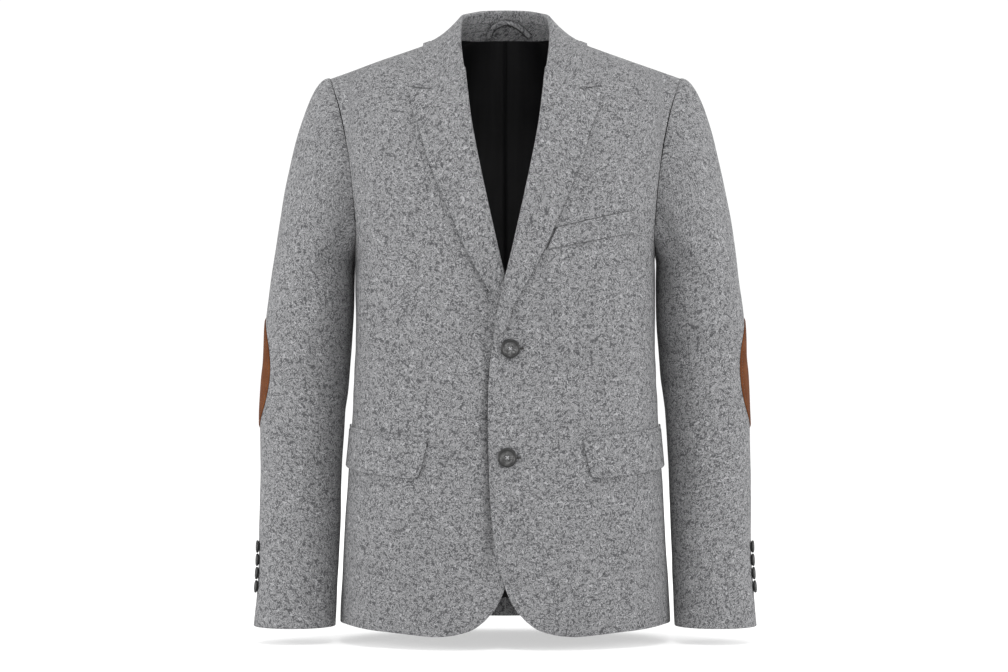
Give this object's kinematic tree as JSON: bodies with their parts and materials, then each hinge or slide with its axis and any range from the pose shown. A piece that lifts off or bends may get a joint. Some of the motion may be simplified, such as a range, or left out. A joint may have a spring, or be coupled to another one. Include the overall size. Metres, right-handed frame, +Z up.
{
  "type": "suit jacket",
  "caption": "Men's single-breasted two-button suit jacket with notch lapels, flap pockets and elbow patches, hollow as if worn.",
  "frame": {"origin": "between the shoulders at the base of the neck, where the wearer carries the jacket", "axes": "+Z up along the wearer's neck, -Y the front, +X the wearer's left"},
  "size_m": [0.6086, 0.2526, 0.7594],
  "materials": {
    "tweed": "matte grey melange wool",
    "lining": "satin",
    "suede": "suede",
    "horn": "satin"
  },
  "bodies": {
    "root": {"front_left": "tweed", "side_left": "tweed", "back_left": "tweed", "top_sleeve_left": "tweed", "under_sleeve_left": "tweed", "lapel_left": "tweed", "flap_left": "tweed", "jet_left": "tweed", "lining_left": "lining", "elbow_patch_left": "suede", "cuff_button_left_1": "horn", "cuff_button_left_2": "horn", "cuff_button_left_3": "horn", "cuff_button_left_4": "horn", "front_right": "tweed", "side_right": "tweed", "back_right": "tweed", "top_sleeve_right": "tweed", "under_sleeve_right": "tweed", "lapel_right": "tweed", "flap_right": "tweed", "jet_right": "tweed", "lining_right": "lining", "elbow_patch_right": "suede", "cuff_button_right_1": "horn", "cuff_button_right_2": "horn", "cuff_button_right_3": "horn", "cuff_button_right_4": "horn", "collar": "tweed", "collar_stand": "tweed", "hanger_loop": "tweed", "chest_welt": "tweed", "front_button_top": "horn", "front_button_low": "horn"}
  },
  "joints": []
}
